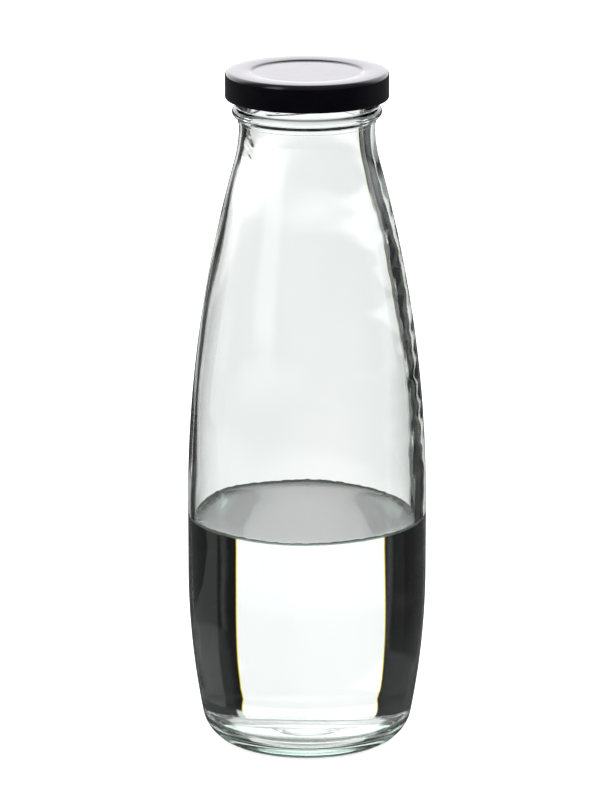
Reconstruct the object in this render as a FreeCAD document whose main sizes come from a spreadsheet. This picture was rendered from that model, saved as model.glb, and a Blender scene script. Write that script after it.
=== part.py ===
import FreeCAD, Part
import math
import os

import Sketcher
from FreeCAD import Placement, Rotation, Vector

# A glass milk bottle with a push-up base, a lug finish and a steel twist-off lid, part full.
# The frame's origin is the centre of the foot on the ground, with +Z up along the bottle's axis.
# Lengths are in millimetres and angles in degrees.

SIZES = [
    ("foot_radius", 21.84, "outer edge of the flat ring that the bottle stands on"),
    ("foot_inner", 19.4, "inner edge of that ring, where the push-up starts"),
    ("push_up", 2.2, "rise of the push-up at its centre"),
    ("mark_radius", 5.8, "radius of the round baffle mark in the push-up"),
    ("mark_groove", 0.35, "section radius of the baffle mark"),
    ("body_radius", 36.05, "outside radius of the belly, the widest part"),
    ("belly_low", 53.1, "height where the straight belly starts"),
    ("belly_high", 73.2, "height where the straight belly ends"),
    ("lower_sweep", 237.4, "arc radius of the lower body"),
    ("shoulder_sweep", 396.5, "arc radius of the long shoulder"),
    ("throat_sweep", 39.9, "arc radius where the shoulder runs into the neck"),
    ("neck_radius", 20.25, "outside radius of the neck"),
    ("seam_height", 190.8, "height of the parting step under the bead"),
    ("seam_rise", 0.2, "height of the parting step's slope"),
    ("seam_radius", 20.55, "outside radius above the parting step"),
    ("bead_start", 191.9, "height where the bead's underside starts"),
    ("bead_height", 194.15, "height of the bead's crest"),
    ("bead_radius", 22.25, "outside radius of the bead"),
    ("bead_round", 1.6, "section radius of the bead"),
    ("bead_blend", 0.6, "fillet radius between the bead and the finish wall"),
    ("finish_radius", 21.0, "outside radius of the wall that carries the threads"),
    ("rim_height", 205.3, "height of the sealing rim"),
    ("rim_round", 1.2, "outer edge radius of the rim"),
    ("bore_round", 1.0, "inner edge radius of the rim"),
    ("wall", 2.6, "glass wall thickness"),
    ("floor_height", 6.3, "height of the inside floor at its centre"),
    ("floor_sweep", 170.0, "arc radius of the domed inside floor"),
    ("floor_corner", 8.5, "inside corner radius of the floor"),
    ("thread_low", 196.0, "height of a thread's underside at its low end"),
    ("thread_depth", 1.6, "how far a thread stands out of the finish wall"),
    ("thread_root", 1.9, "height of a thread's section at its root"),
    ("thread_tip", 1.3, "height of a thread's section at its rounded crest"),
    ("thread_flank", 1.0, "radial length of a thread's flanks outside the wall"),
    ("thread_sunk", 0.3, "how far a thread's section reaches into the wall"),
    ("thread_angle", 110.0, "length of one thread, in degrees of turn"),
    ("thread_start", -127.0, "angle from +X of the first thread's low end"),
    ("starts", 4, "number of threads and of lugs"),
    ("lead", 15.0, "rise of a thread in one full turn"),
    ("fill_height", 69.7, "height of the liquid's level surface"),
    ("film", 0.05, "clearance between the liquid and the glass"),
    ("meniscus_width", 1.5, "width of the ring where the liquid climbs the wall"),
    ("meniscus_round", 2.0, "section radius of that climb"),
    ("lid_radius", 24.35, "outside radius of the lid"),
    ("lid_top", 206.5, "height of the lid's top"),
    ("sheet", 0.22, "thickness of the lid's sheet steel"),
    ("panel_drop", 0.6, "depth of the lid's centre panel below its top"),
    ("panel_radius", 15.7, "radius of the flat of the centre panel"),
    ("panel_round", 1.8, "concave radius at the foot of the step round the panel"),
    ("step_round", 1.6, "convex radius at the head of that step"),
    ("crown_radius", 20.6, "radius of the ring where the lid's top is highest"),
    ("crown_sweep", 40.0, "arc radius of the lid's crowned top"),
    ("corner_round", 1.35, "outside radius between the lid's top and its skirt"),
    ("curl_height", 198.85, "height of the centre of the lid's bottom curl"),
    ("curl_round", 0.72, "outside radius of the curl's section"),
    ("lug_tip", 21.7, "radius that the lugs reach in to"),
    ("lug_back", 23.15, "radius where a lug's section ends inside the curl"),
    ("lug_thick", 1.1, "thickness of a lug"),
    ("lug_angle", 15.0, "width of a lug, in degrees of turn"),
    ("lug_lead_in", 86.0, "turn from a thread's low end to the low edge of its lug"),
    ("lug_gap", 0.3, "clearance between a lug and the thread above it"),
    ("seal_inner", 18.0, "inner radius of the sealing ring"),
    ("seal_outer", 23.2, "outer radius of the sealing ring"),
    ("seal_gap", 0.05, "clearance of the seal from the rim and from the lid"),
    ("seal_flat", 20.3, "radius where the seal stops lying flat over the rim"),
    ("seal_lip", 21.4, "radius where the seal's outer lip starts"),
    ("seal_lip_low", 204.7, "height of the underside of that lip"),
    ("seal_chamfer", 0.35, "chamfer on the seal's upper edges"),
]

# Sketcher's numbers for the origin and the height axis, and for the points of a piece.
ORIGIN = -1
HEIGHT_AXIS = -2
START = 1
END = 2
CENTRE = 3


def make_sheet(doc):
    """The driving dimensions, one row each: name, number, meaning."""
    sheet = doc.addObject("Spreadsheet::Sheet", "sizes")
    for row, (alias, number, meaning) in enumerate(SIZES, start=1):
        sheet.set("A%d" % row, alias)
        sheet.set("B%d" % row, str(number))
        sheet.set("C%d" % row, meaning)
        sheet.setAlias("B%d" % row, alias)
    doc.recompute()
    return sheet


class Sizes:
    """The sheet's numbers as attributes, for drawing a sketch at its solution."""

    def __init__(self, sheet):
        for alias, _, _ in SIZES:
            setattr(self, alias, float(sheet.get(alias)))


class Profile:
    """A sketch on a half-plane through the axis: x is the radius and y is the height."""

    def __init__(self, body, name, turn=None):
        self.body = body
        self.sketch = body.newObject("Sketcher::SketchObject", name)
        self.sketch.AttachmentSupport = (origin_feature(body, "XZ_Plane"), [""])
        self.sketch.MapMode = "FlatFace"
        if turn is not None:
            self.sketch.AttachmentOffset = Placement(Vector(), Rotation(Vector(0, 1, 0), 1.0))
            self.sketch.setExpression("AttachmentOffset.Rotation.Angle", "(%s) * 1 deg" % turn)

    def line(self, start, end):
        return self.sketch.addGeometry(Part.LineSegment(Vector(*start, 0), Vector(*end, 0)), False)

    def arc(self, centre, radius, first, last):
        """An arc that runs anticlockwise from the angle first to the angle last."""
        circle = Part.Circle(Vector(*centre, 0), Vector(0, 0, 1), radius)
        span = math.radians(first), math.radians(last)
        return self.sketch.addGeometry(Part.ArcOfCircle(circle, *span), False)

    def circle(self, centre, radius):
        return self.sketch.addGeometry(Part.Circle(Vector(*centre, 0), Vector(0, 0, 1), radius), False)

    def polygon(self, corners):
        """Straight pieces round the corners, each corner a pair of formulas."""
        points = [[float(self.sketch.evalExpression(part)) for part in corner] for corner in corners]
        pieces = [self.line(points[i - 1], points[i]) for i in range(len(points))]
        for i, (across, up) in enumerate(corners):
            self.meet(pieces[i], END, pieces[(i + 1) % len(pieces)], START)
            self.across(pieces[i], END, across)
            self.up(pieces[i], END, up)

    def rule(self, kind, *where):
        return self.sketch.addConstraint(Sketcher.Constraint(kind, *where))

    def flat(self, *pieces):
        for piece in pieces:
            self.rule("Horizontal", piece)

    def upright(self, *pieces):
        for piece in pieces:
            self.rule("Vertical", piece)

    def on_axis(self, piece, end):
        self.rule("PointOnObject", piece, end, HEIGHT_AXIS)

    def meet(self, first, first_end, second, second_end):
        """The two ends are one point."""
        self.rule("Coincident", first, first_end, second, second_end)

    def flow(self, first, first_end, second, second_end):
        """The two ends are one point, and the two pieces are tangent there."""
        self.rule("Tangent", first, first_end, second, second_end)

    def bind(self, index, formula):
        self.sketch.setExpression("Constraints[%d]" % index, formula)

    def radius(self, piece, formula):
        self.bind(self.rule("Radius", piece, self.sketch.Geometry[piece].Radius), formula)

    def across(self, piece, end, formula):
        """The distance of a point from the axis."""
        point = self.sketch.getPoint(piece, end)
        self.bind(self.rule("DistanceX", ORIGIN, START, piece, end, point.x), formula)

    def up(self, piece, end, formula):
        """The height of a point above the ground."""
        point = self.sketch.getPoint(piece, end)
        self.bind(self.rule("DistanceY", ORIGIN, START, piece, end, point.y), formula)

    def turned(self, kind, name):
        """The whole turn of the profile about the axis: a Revolution adds and a Groove cuts."""
        feature = self.body.newObject("PartDesign::" + kind, name)
        feature.Profile = self.sketch
        feature.ReferenceAxis = (self.sketch, ["V_Axis"])
        feature.Angle = 360.0
        self.body.Document.recompute()
        return feature

    def climbing(self, name, angle):
        """The profile swept up the thread's helix through an angle, once for each start."""
        upright = origin_feature(self.body, "Z_Axis")
        helix = self.body.newObject("PartDesign::AdditiveHelix", name)
        helix.Profile = self.sketch
        helix.ReferenceAxis = (upright, [""])
        helix.Mode = "pitch-height-angle"
        helix.setExpression("Pitch", "sizes.lead * 1 mm")
        helix.setExpression("Height", "sizes.lead * %s / 360 * 1 mm" % angle)
        self.body.Document.recompute()
        pattern = self.body.newObject("PartDesign::PolarPattern", name + "s_all_round")
        pattern.Originals = [helix]
        pattern.Axis = (upright, [""])
        pattern.Angle = 360.0
        pattern.setExpression("Occurrences", "sizes.starts")
        self.body.Tip = pattern
        self.body.Document.recompute()


def origin_feature(body, role):
    return next(item for item in body.Origin.OriginFeatures if item.Role == role)


def new_body(doc, label):
    body = doc.addObject("PartDesign::Body", label)
    body.Label = label
    body.Placement = Placement()
    return body


def along(centre, radius, angle):
    """The point on a circle at an angle."""
    angle = math.radians(angle)
    return centre[0] + radius * math.cos(angle), centre[1] + radius * math.sin(angle)


def angle_to(start, end):
    return math.degrees(math.atan2(end[1] - start[1], end[0] - start[0]))


def crossing(first, first_radius, second, second_radius):
    """The crossing of two circles that lies to the right of the way from second to first."""
    gap = math.dist(first, second)
    reach = (first_radius ** 2 - second_radius ** 2 + gap ** 2) / (2 * gap)
    aside = math.sqrt(first_radius ** 2 - reach ** 2)
    unit = (second[0] - first[0]) / gap, (second[1] - first[1]) / gap
    foot = first[0] + reach * unit[0], first[1] + reach * unit[1]
    return foot[0] + aside * abs(unit[1]), foot[1] + aside * abs(unit[0])


class Side:
    """The bottle's side as a run of tangent arcs, outside or a skin's depth within it."""

    def __init__(self, d, skin):
        self.belly = d.body_radius - skin
        self.neck = d.neck_radius - skin
        self.lower = d.lower_sweep - skin
        self.shoulder = d.shoulder_sweep - skin
        self.throat = d.throat_sweep + skin
        self.lower_centre = (d.body_radius - d.lower_sweep, d.belly_low)
        self.shoulder_centre = (d.body_radius - d.shoulder_sweep, d.belly_high)
        reach = d.shoulder_sweep + d.throat_sweep
        shift = reach - d.body_radius + d.neck_radius
        self.bend = math.degrees(math.acos(shift / reach))
        self.neck_foot = d.belly_high + math.sqrt(reach ** 2 - shift ** 2)
        self.throat_centre = (d.neck_radius + d.throat_sweep, self.neck_foot)

    def draw_lower(self, profile, low_angle, inset):
        """The lower arc, from an angle below the level up to the foot of the belly."""
        lower = profile.arc(self.lower_centre, self.lower, low_angle, 0)
        profile.radius(lower, "sizes.lower_sweep" + inset)
        return lower

    def draw_upper(self, profile, d, lower, inset):
        """The belly, shoulder and throat, on from the lower arc. It gives the throat."""
        belly = profile.line((self.belly, d.belly_low), (self.belly, d.belly_high))
        shoulder = profile.arc(self.shoulder_centre, self.shoulder, 0, self.bend)
        throat = profile.arc(self.throat_centre, self.throat, 180, 180 + self.bend)
        profile.flow(lower, END, belly, START)
        profile.flow(belly, END, shoulder, START)
        profile.flow(shoulder, END, throat, END)
        profile.upright(belly)
        profile.across(belly, START, "sizes.body_radius" + inset)
        profile.up(belly, START, "sizes.belly_low")
        profile.up(belly, END, "sizes.belly_high")
        profile.radius(shoulder, "sizes.shoulder_sweep" + inset)
        return throat


def draw_floor(profile, d, side, film, inset):
    """The domed inside floor, its corner and the lower arc. It gives the floor and that arc."""
    floor_centre = (0, d.floor_height - d.floor_sweep)
    floor_reach = d.floor_sweep + d.floor_corner
    side_reach = d.lower_sweep - d.wall - d.floor_corner
    corner_centre = crossing(floor_centre, floor_reach, side.lower_centre, side_reach)
    floor_angle = angle_to(floor_centre, corner_centre)
    side_angle = angle_to(side.lower_centre, corner_centre)

    floor = profile.arc(floor_centre, d.floor_sweep + film, floor_angle, 90)
    corner = profile.arc(corner_centre, d.floor_corner - film, floor_angle - 180, side_angle)
    lower = side.draw_lower(profile, side_angle, inset)
    profile.flow(corner, END, lower, START)
    profile.flow(floor, START, corner, START)
    profile.on_axis(floor, CENTRE)
    profile.on_axis(floor, END)
    return floor, corner, lower


def draw_outside(body, d):
    """The glass before it is hollowed: foot, heel, side, neck, bead and finish wall."""
    profile = Profile(body, "outside")
    side = Side(d, 0)
    reach = d.foot_radius - side.lower_centre[0]
    heel_reach = d.lower_sweep ** 2 - reach ** 2 - d.belly_low ** 2
    heel_radius = heel_reach / (2 * (d.lower_sweep - d.belly_low))
    heel_angle = angle_to(side.lower_centre, (d.foot_radius, heel_radius))
    bead_centre = (d.bead_radius - d.bead_round, d.bead_height)
    blend_x = d.finish_radius + d.bead_blend
    blend_reach = d.bead_round + d.bead_blend
    blend_angle = math.degrees(math.acos((blend_x - bead_centre[0]) / blend_reach))
    blend_centre = along(bead_centre, blend_reach, blend_angle)
    under_start = (d.seam_radius, d.bead_start)
    under_reach = math.dist(bead_centre, under_start)
    under_angle = angle_to(bead_centre, under_start) + math.degrees(math.acos(d.bead_round / under_reach))
    rim_inner = d.finish_radius - d.rim_round
    rim_low = d.rim_height - d.rim_round
    step_top = d.seam_height + d.seam_rise

    foot = profile.line((0, 0), (d.foot_radius, 0))
    heel = profile.arc((d.foot_radius, heel_radius), heel_radius, -90, heel_angle)
    lower = side.draw_lower(profile, heel_angle, "")
    throat = side.draw_upper(profile, d, lower, "")
    neck = profile.line((side.neck, side.neck_foot), (side.neck, d.seam_height))
    step = profile.line((side.neck, d.seam_height), (d.seam_radius, step_top))
    band = profile.line((d.seam_radius, step_top), under_start)
    under = profile.line(under_start, along(bead_centre, d.bead_round, under_angle))
    bead = profile.arc(bead_centre, d.bead_round, under_angle, blend_angle)
    blend = profile.arc(blend_centre, d.bead_blend, 180, 180 + blend_angle)
    finish = profile.line((d.finish_radius, blend_centre[1]), (d.finish_radius, rim_low))
    edge = profile.arc((rim_inner, rim_low), d.rim_round, 0, 90)
    rim = profile.line((rim_inner, d.rim_height), (0, d.rim_height))
    axis = profile.line((0, d.rim_height), (0, 0))

    profile.meet(foot, START, ORIGIN, START)
    profile.flow(foot, END, heel, START)
    profile.flow(heel, END, lower, START)
    profile.flow(throat, START, neck, START)
    profile.meet(neck, END, step, START)
    profile.meet(step, END, band, START)
    profile.meet(band, END, under, START)
    profile.flow(under, END, bead, START)
    profile.flow(bead, END, blend, END)
    profile.flow(blend, START, finish, START)
    profile.flow(finish, END, edge, START)
    profile.flow(edge, END, rim, START)
    profile.meet(rim, END, axis, START)
    profile.meet(axis, END, foot, START)
    profile.flat(foot, rim)
    profile.upright(neck, band, finish, axis)
    profile.across(foot, END, "sizes.foot_radius")
    profile.radius(throat, "sizes.throat_sweep")
    profile.across(neck, START, "sizes.neck_radius")
    profile.up(neck, END, "sizes.seam_height")
    profile.up(step, END, "sizes.seam_height + sizes.seam_rise")
    profile.across(band, START, "sizes.seam_radius")
    profile.up(band, END, "sizes.bead_start")
    profile.across(bead, CENTRE, "sizes.bead_radius - sizes.bead_round")
    profile.up(bead, CENTRE, "sizes.bead_height")
    profile.radius(bead, "sizes.bead_round")
    profile.radius(blend, "sizes.bead_blend")
    profile.across(finish, START, "sizes.finish_radius")
    profile.radius(edge, "sizes.rim_round")
    profile.up(rim, START, "sizes.rim_height")
    return profile


def draw_cavity(body, d):
    """The space inside the bottle, from its domed floor up through the rim."""
    profile = Profile(body, "cavity")
    side = Side(d, d.wall)
    lip = d.bore_round
    edge_centre = (side.neck + lip, d.rim_height - lip)
    above = d.rim_height + lip

    floor, corner, lower = draw_floor(profile, d, side, 0, " - sizes.wall")
    throat = side.draw_upper(profile, d, lower, " - sizes.wall")
    bore = profile.line((side.neck, side.neck_foot), (side.neck, edge_centre[1]))
    edge = profile.arc(edge_centre, lip, 90, 180)
    mouth = profile.line((edge_centre[0], d.rim_height), (edge_centre[0], above))
    cap = profile.line((edge_centre[0], above), (0, above))
    axis = profile.line((0, above), (0, d.floor_height))

    profile.flow(throat, START, bore, START)
    profile.flow(bore, END, edge, END)
    profile.meet(edge, START, mouth, START)
    profile.meet(mouth, END, cap, START)
    profile.meet(cap, END, axis, START)
    profile.meet(axis, END, floor, END)
    profile.flat(cap)
    profile.upright(bore, mouth, axis)
    profile.radius(floor, "sizes.floor_sweep")
    profile.radius(corner, "sizes.floor_corner")
    profile.up(floor, END, "sizes.floor_height")
    profile.radius(throat, "sizes.throat_sweep + sizes.wall")
    profile.across(bore, START, "sizes.neck_radius - sizes.wall")
    profile.radius(edge, "sizes.bore_round")
    profile.up(mouth, START, "sizes.rim_height")
    profile.across(mouth, START, "sizes.neck_radius - sizes.wall + sizes.bore_round")
    profile.up(mouth, END, "sizes.rim_height + sizes.bore_round")
    return profile


def draw_push_up(body, d):
    """The dome pressed up into the base inside the ring that it stands on."""
    profile = Profile(body, "push_up")
    sweep = (d.foot_inner ** 2 + d.push_up ** 2) / (2 * d.push_up)
    dome_centre = (0, d.push_up - sweep)
    ground = profile.line((0, 0), (d.foot_inner, 0))
    dome = profile.arc(dome_centre, sweep, angle_to(dome_centre, (d.foot_inner, 0)), 90)
    axis = profile.line((0, d.push_up), (0, 0))
    profile.meet(ground, START, ORIGIN, START)
    profile.meet(ground, END, dome, START)
    profile.meet(dome, END, axis, START)
    profile.meet(axis, END, ground, START)
    profile.flat(ground)
    profile.upright(axis)
    profile.on_axis(dome, CENTRE)
    profile.across(ground, END, "sizes.foot_inner")
    profile.up(dome, END, "sizes.push_up")
    return profile


def draw_mark(body, d):
    """The section of the round baffle mark, a shallow groove in the push-up."""
    profile = Profile(body, "mark")
    drop = "sizes.push_up * (sizes.mark_radius / sizes.foot_inner) ^ 2"
    height = d.push_up * (1 - (d.mark_radius / d.foot_inner) ** 2)
    groove = profile.circle((d.mark_radius, height), d.mark_groove)
    profile.across(groove, CENTRE, "sizes.mark_radius")
    profile.up(groove, CENTRE, "sizes.push_up - " + drop)
    profile.radius(groove, "sizes.mark_groove")
    return profile


def draw_thread(body, d):
    """A thread's section: a sunk root, two short flanks and a rounded crest."""
    profile = Profile(body, "thread_section", "sizes.thread_start")
    back = d.finish_radius - d.thread_sunk
    front = d.finish_radius + d.thread_flank
    top = d.thread_low + d.thread_root
    middle = d.thread_low + d.thread_root / 2
    half = d.thread_tip / 2
    bulge = d.thread_depth - d.thread_flank
    crest_radius = (half ** 2 + bulge ** 2) / (2 * bulge)
    crest_centre = (front + bulge - crest_radius, middle)
    crest_angle = angle_to(crest_centre, (front, middle + half))

    root = profile.line((back, top), (back, d.thread_low))
    lower = profile.line((back, d.thread_low), (front, middle - half))
    crest = profile.arc(crest_centre, crest_radius, -crest_angle, crest_angle)
    upper = profile.line((front, middle + half), (back, top))
    profile.meet(root, END, lower, START)
    profile.meet(lower, END, crest, START)
    profile.meet(crest, END, upper, START)
    profile.meet(upper, END, root, START)
    profile.upright(root)
    profile.across(root, END, "sizes.finish_radius - sizes.thread_sunk")
    profile.up(root, END, "sizes.thread_low")
    profile.up(root, START, "sizes.thread_low + sizes.thread_root")
    profile.across(lower, END, "sizes.finish_radius + sizes.thread_flank")
    profile.across(upper, START, "sizes.finish_radius + sizes.thread_flank")
    profile.up(lower, END, "sizes.thread_low + (sizes.thread_root - sizes.thread_tip) / 2")
    profile.up(upper, START, "sizes.thread_low + (sizes.thread_root + sizes.thread_tip) / 2")
    bulge_word = "(sizes.thread_depth - sizes.thread_flank)"
    half_word = "(sizes.thread_tip / 2)"
    profile.radius(crest, "(%s ^ 2 + %s ^ 2) / (2 * %s)" % (half_word, bulge_word, bulge_word))
    return profile


def build_glass(doc, d):
    """The moulded bottle: one piece of glass with four threads round its finish."""
    body = new_body(doc, "glass_bottle")
    draw_outside(body, d).turned("Revolution", "blank")
    draw_cavity(body, d).turned("Groove", "hollow")
    draw_push_up(body, d).turned("Groove", "base_dome")
    draw_mark(body, d).turned("Groove", "baffle_mark")
    draw_thread(body, d).climbing("thread", "sizes.thread_angle")
    return body


def build_liquid(doc, d):
    """The liquid in the bottle, clear of the glass by a film, with a raised edge."""
    body = new_body(doc, "water")
    profile = Profile(body, "fill")
    inset = " - sizes.wall - sizes.film"
    side = Side(d, d.wall + d.film)
    level_end = side.belly - d.meniscus_width
    climb = math.degrees(math.asin(d.meniscus_width / d.meniscus_round))
    climb_centre = (level_end, d.fill_height + d.meniscus_round)
    climb_top = along(climb_centre, d.meniscus_round, climb - 90)

    floor, corner, lower = draw_floor(profile, d, side, d.film, inset)
    belly = profile.line((side.belly, d.belly_low), climb_top)
    edge = profile.arc(climb_centre, d.meniscus_round, -90, climb - 90)
    level = profile.line((level_end, d.fill_height), (0, d.fill_height))
    axis = profile.line((0, d.fill_height), (0, d.floor_height + d.film))
    profile.flow(lower, END, belly, START)
    profile.meet(belly, END, edge, END)
    profile.flow(edge, START, level, START)
    profile.meet(level, END, axis, START)
    profile.meet(axis, END, floor, END)
    profile.upright(belly, axis)
    profile.flat(level)
    profile.radius(floor, "sizes.floor_sweep + sizes.film")
    profile.radius(corner, "sizes.floor_corner - sizes.film")
    profile.up(floor, END, "sizes.floor_height + sizes.film")
    profile.across(belly, START, "sizes.body_radius" + inset)
    profile.up(belly, START, "sizes.belly_low")
    profile.radius(edge, "sizes.meniscus_round")
    profile.across(level, START, "sizes.body_radius" + inset + " - sizes.meniscus_width")
    profile.up(level, START, "sizes.fill_height")
    profile.turned("Revolution", "liquid")
    return body


def draw_shell(body, d):
    """The lid's sheet in section: recessed panel, step, crowned top, skirt and rolled curl."""
    profile = Profile(body, "sheet_section")
    inner = d.lid_radius - d.sheet
    panel_height = d.lid_top - d.panel_drop
    foot_centre = (d.panel_radius, panel_height + d.panel_round)
    crown_centre = (d.crown_radius, d.lid_top - d.crown_sweep)
    head_reach = d.crown_sweep - d.step_round
    head_centre = crossing(foot_centre, d.panel_round + d.step_round, crown_centre, head_reach)
    slope = angle_to(foot_centre, head_centre)
    head_angle = angle_to(crown_centre, head_centre)
    corner_x = d.lid_radius - d.corner_round
    corner_angle = math.degrees(math.acos((corner_x - d.crown_radius) / (d.crown_sweep - d.corner_round)))
    corner_centre = along(crown_centre, d.crown_sweep - d.corner_round, corner_angle)
    curl_centre = (d.lid_radius - d.curl_round, d.curl_height)

    def draw_face(panel_y, skirt_x, skin):
        """One face of the sheet from the axis to the curl, a skin's depth below the outer face."""
        panel = profile.line((0, panel_y), (d.panel_radius, panel_y))
        foot = profile.arc(foot_centre, d.panel_round + skin, -90, slope)
        head = profile.arc(head_centre, d.step_round - skin, head_angle, 180 + slope)
        crown = profile.arc(crown_centre, d.crown_sweep - skin, corner_angle, head_angle)
        corner = profile.arc(corner_centre, d.corner_round - skin, 0, corner_angle)
        skirt = profile.line((skirt_x, corner_centre[1]), (skirt_x, d.curl_height))
        curl = profile.arc(curl_centre, d.curl_round - skin, 90, 360)
        profile.on_axis(panel, START)
        profile.flow(panel, END, foot, START)
        profile.flow(foot, END, head, END)
        profile.flow(head, START, crown, END)
        profile.flow(crown, START, corner, END)
        profile.flow(corner, START, skirt, START)
        profile.flow(skirt, END, curl, END)
        profile.flat(panel)
        profile.upright(skirt)
        return panel, foot, head, crown, corner, skirt, curl

    outer = draw_face(panel_height, d.lid_radius, 0)
    under = draw_face(panel_height - d.sheet, inner, d.sheet)
    panel, foot, head, crown, corner, skirt, curl = outer
    under_panel, under_skirt, under_curl = under[0], under[-2], under[-1]
    axis = profile.line((0, panel_height - d.sheet), (0, panel_height))
    tip = profile.line(along(curl_centre, d.curl_round, 90), along(curl_centre, d.curl_round - d.sheet, 90))

    profile.up(panel, START, "sizes.lid_top - sizes.panel_drop")
    profile.across(panel, END, "sizes.panel_radius")
    profile.radius(foot, "sizes.panel_round")
    profile.radius(head, "sizes.step_round")
    profile.across(crown, CENTRE, "sizes.crown_radius")
    profile.up(crown, CENTRE, "sizes.lid_top - sizes.crown_sweep")
    profile.radius(crown, "sizes.crown_sweep")
    profile.radius(corner, "sizes.corner_round")
    profile.across(skirt, START, "sizes.lid_radius")
    profile.radius(curl, "sizes.curl_round")
    profile.up(curl, CENTRE, "sizes.curl_height")
    profile.rule("Vertical", curl, START, curl, CENTRE)
    for face, under_face in zip(outer, under):
        if face not in (panel, skirt):
            profile.meet(face, CENTRE, under_face, CENTRE)
    profile.across(under_skirt, START, "sizes.lid_radius - sizes.sheet")
    profile.meet(axis, START, under_panel, START)
    profile.meet(axis, END, panel, START)
    profile.meet(tip, START, curl, START)
    profile.meet(tip, END, under_curl, START)
    profile.upright(tip)
    return profile


def draw_lug(body, d):
    """A lug's section at its low edge: flat above and below, and round at its inner tip."""
    profile = Profile(body, "lug_section", "sizes.thread_start + sizes.lug_lead_in")
    half = d.lug_thick / 2
    top = d.thread_low + d.lead * d.lug_lead_in / 360 - d.lug_gap
    middle = top - half
    tip_x = d.lug_tip + half
    lower = profile.line((tip_x, middle - half), (d.lug_back, middle - half))
    back = profile.line((d.lug_back, middle - half), (d.lug_back, top))
    upper = profile.line((d.lug_back, top), (tip_x, top))
    tip = profile.arc((tip_x, middle), half, 90, 270)
    profile.meet(lower, END, back, START)
    profile.meet(back, END, upper, START)
    profile.flow(upper, END, tip, START)
    profile.flow(tip, END, lower, START)
    profile.flat(lower, upper)
    profile.upright(back)
    profile.across(back, START, "sizes.lug_back")
    profile.across(tip, CENTRE, "sizes.lug_tip + sizes.lug_thick / 2")
    profile.radius(tip, "sizes.lug_thick / 2")
    rise = "sizes.lead * sizes.lug_lead_in / 360"
    profile.up(upper, START, "sizes.thread_low + %s - sizes.lug_gap" % rise)
    return profile


def build_lid(doc, d):
    """The pressed steel lid: a lacquered shell with a rolled curl and four lugs."""
    body = new_body(doc, "lid_shell")
    draw_shell(body, d).turned("Revolution", "shell")
    draw_lug(body, d).climbing("lug", "sizes.lug_angle")
    return body


def build_seal(doc):
    """The ring of sealing compound under the lid, flat over the rim with a lip outside it."""
    body = new_body(doc, "lid_seal")
    profile = Profile(body, "seal_section")
    fall = "(sizes.seal_outer - sizes.crown_radius) ^ 2 / (2 * sizes.crown_sweep)"
    top = "sizes.lid_top - sizes.sheet - sizes.seal_gap - " + fall
    under = "sizes.rim_height + sizes.seal_gap"
    profile.polygon([
        ("sizes.seal_inner", under),
        ("sizes.seal_flat", under),
        ("sizes.seal_lip", "sizes.seal_lip_low"),
        ("sizes.seal_outer - sizes.seal_chamfer", "sizes.seal_lip_low"),
        ("sizes.seal_outer", "sizes.seal_lip_low + sizes.seal_chamfer"),
        ("sizes.seal_outer", top + " - sizes.seal_chamfer"),
        ("sizes.seal_outer - sizes.seal_chamfer", top),
        ("sizes.seal_inner + sizes.seal_chamfer", top),
        ("sizes.seal_inner", top + " - sizes.seal_chamfer"),
    ])
    profile.turned("Revolution", "seal")
    return body


def check(doc, bodies):
    """Stop unless every object was rebuilt cleanly and every piece is one sound solid."""
    for item in doc.Objects:
        if "Invalid" in item.State or "Error" in item.State:
            raise RuntimeError("%s could not be rebuilt: %s" % (item.Name, item.State))
    for body in bodies:
        shape = body.Shape
        if shape.isNull() or not shape.isValid() or len(shape.Solids) != 1:
            raise RuntimeError("%s is not one sound solid" % body.Label)


def main():
    doc = FreeCAD.newDocument("milk_bottle")
    d = Sizes(make_sheet(doc))
    bodies = [build_glass(doc, d), build_liquid(doc, d), build_lid(doc, d), build_seal(doc)]
    doc.recompute()
    check(doc, bodies)
    os.makedirs("parts", exist_ok=True)
    for body in bodies:
        body.Shape.exportStep("parts/%s.step" % body.Label)


main()
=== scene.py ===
import math

import bpy
import numpy as np
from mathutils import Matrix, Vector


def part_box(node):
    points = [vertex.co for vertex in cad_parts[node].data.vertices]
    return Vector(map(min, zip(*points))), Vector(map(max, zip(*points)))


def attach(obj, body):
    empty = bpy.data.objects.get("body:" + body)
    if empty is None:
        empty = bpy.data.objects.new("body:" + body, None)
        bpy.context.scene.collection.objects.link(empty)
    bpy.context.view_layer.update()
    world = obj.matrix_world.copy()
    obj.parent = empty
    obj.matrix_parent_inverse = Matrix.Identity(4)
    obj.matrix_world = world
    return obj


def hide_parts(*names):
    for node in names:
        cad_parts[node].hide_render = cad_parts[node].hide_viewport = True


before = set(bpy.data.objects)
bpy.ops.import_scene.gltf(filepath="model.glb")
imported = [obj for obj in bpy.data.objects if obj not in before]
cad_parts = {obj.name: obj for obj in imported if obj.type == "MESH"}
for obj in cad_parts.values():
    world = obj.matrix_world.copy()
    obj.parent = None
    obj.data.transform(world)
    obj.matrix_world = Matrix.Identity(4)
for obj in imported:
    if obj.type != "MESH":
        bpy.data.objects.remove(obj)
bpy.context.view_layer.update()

MM = 0.001

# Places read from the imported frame, in metres.
GLASS_LOW, GLASS_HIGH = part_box("glass_bottle")
WATER_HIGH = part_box("water")[1]
SEAL_LOW, SEAL_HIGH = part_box("lid_seal")
LID_LOW, LID_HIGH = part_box("lid_shell")
RIM = GLASS_HIGH.z
BODY_RADIUS = min(GLASS_HIGH.x, GLASS_HIGH.y, -GLASS_LOW.x, -GLASS_LOW.y)
LID_TOP = LID_HIGH.z
LID_RADIUS = max(v.co.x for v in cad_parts["lid_shell"].data.vertices if v.co.z > LID_TOP - 4 * MM)

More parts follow.
